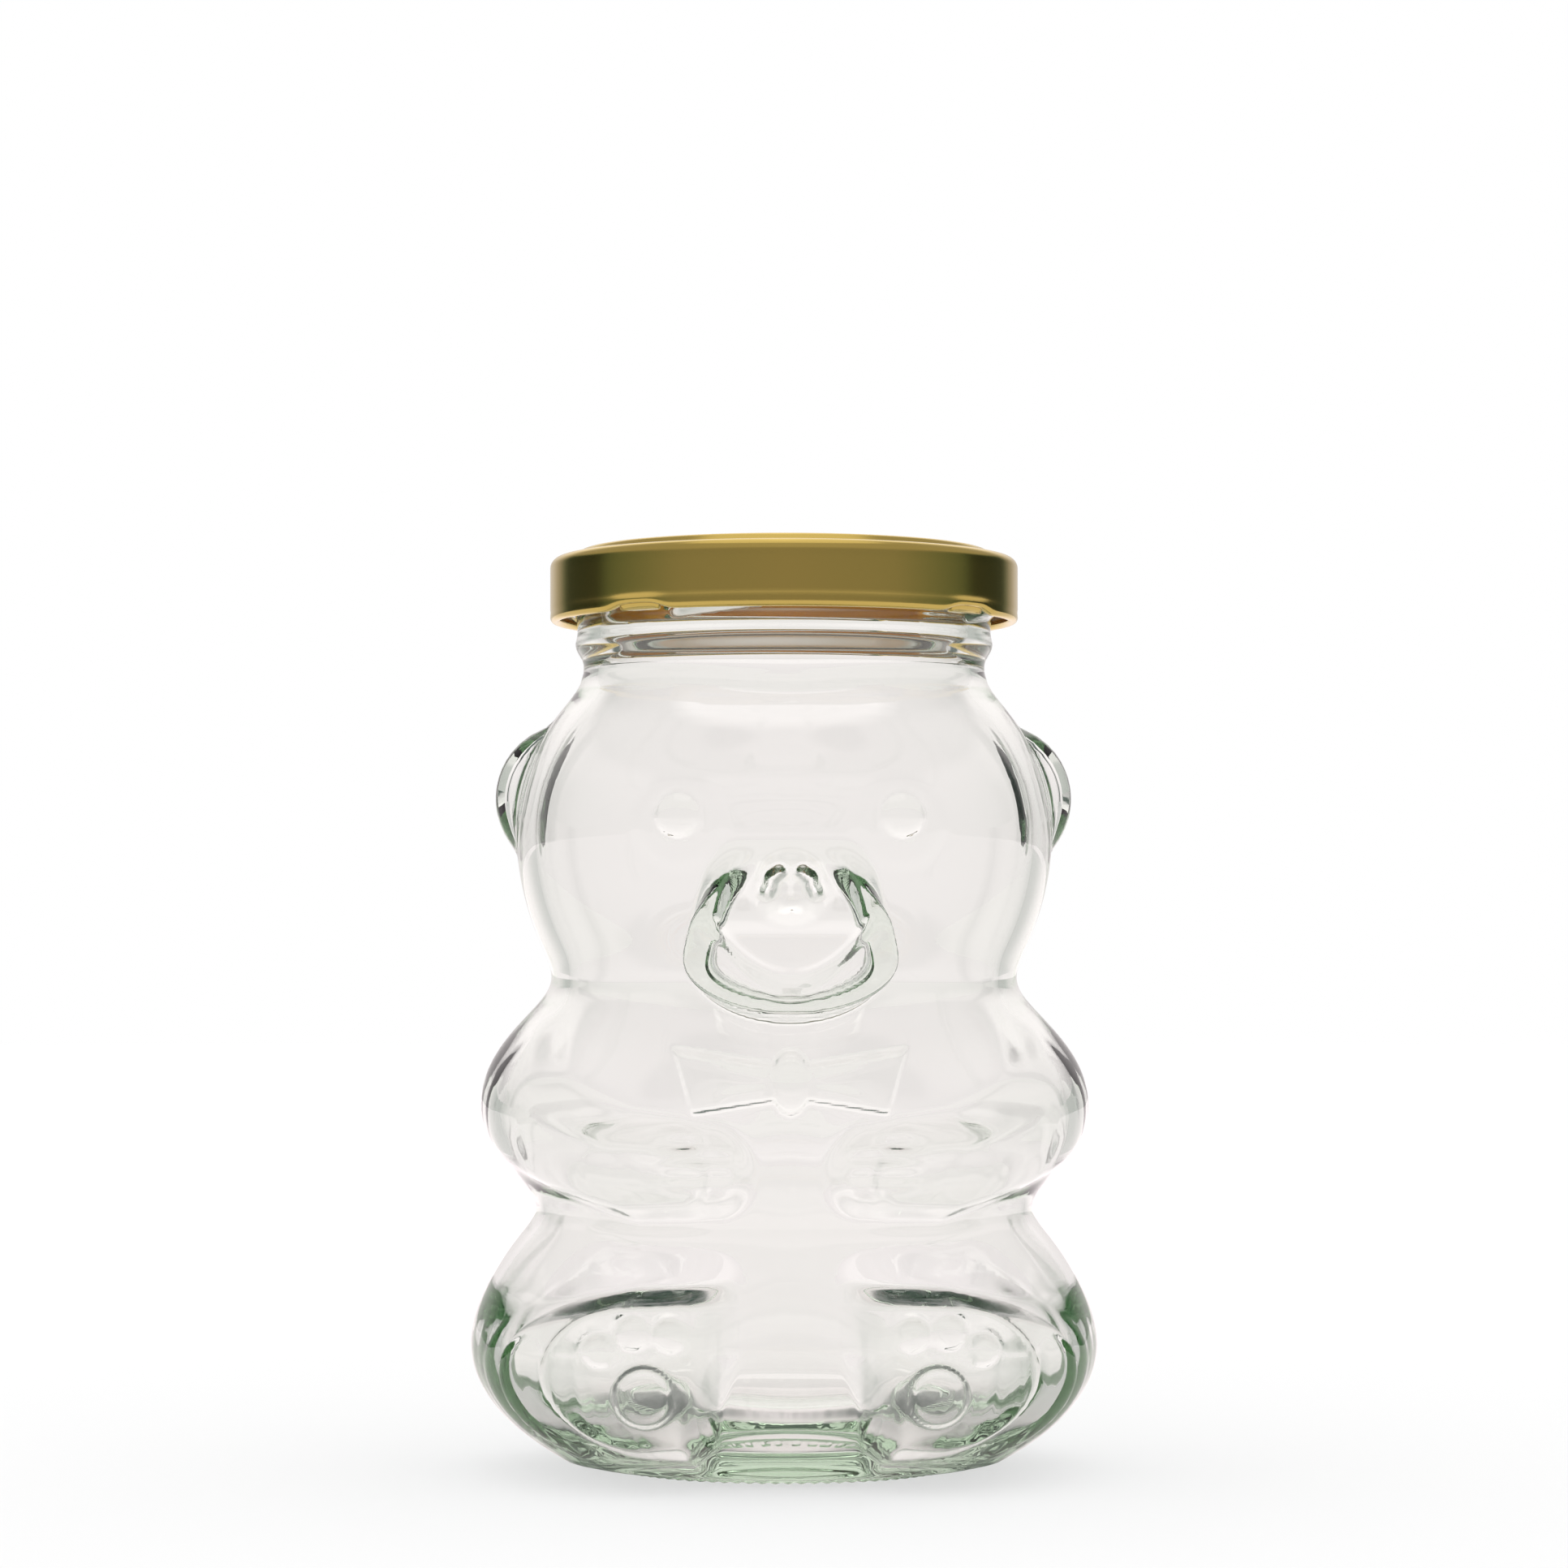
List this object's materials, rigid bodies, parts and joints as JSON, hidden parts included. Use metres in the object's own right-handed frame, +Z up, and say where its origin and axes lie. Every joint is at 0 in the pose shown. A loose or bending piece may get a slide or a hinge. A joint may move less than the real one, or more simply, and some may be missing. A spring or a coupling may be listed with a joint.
{
  "type": "honey jar",
  "caption": "Clear glass honey jar shaped as a sitting bear, with a gold twist-off metal lid and its sealing ring.",
  "frame": {"origin": "on the plane that the foot ring stands on, in the middle of the object's width and depth, 3.89 mm in front of the axis of the neck and lid", "axes": "+Z up, parallel to the axis of the neck and lid, -Y out of the bear's face, +X towards the bear's left paw"},
  "size_m": [0.0886, 0.0827, 0.1292],
  "materials": {
    "glass": "clear, faintly green where it is thick",
    "gold_tinplate": "satin gold lacquer over tinplate",
    "sealing_compound": "matt, soft"
  },
  "bodies": {
    "jar": {"jar": "glass"},
    "seal": {"seal_ring": "sealing_compound"},
    "lid": {"lid": "gold_tinplate"}
  },
  "joints": [
    {"name": "lid_lift", "type": "slide", "parent": "jar", "child": "seal", "axis": [0, 0, 1], "range_m": [0, 0.04]},
    {"name": "lid_turn", "type": "hinge", "parent": "seal", "child": "lid", "pos_m": [0, 0.00389, 0.12], "axis": [0, 0, 1], "range_deg": [-42, 0]}
  ]
}
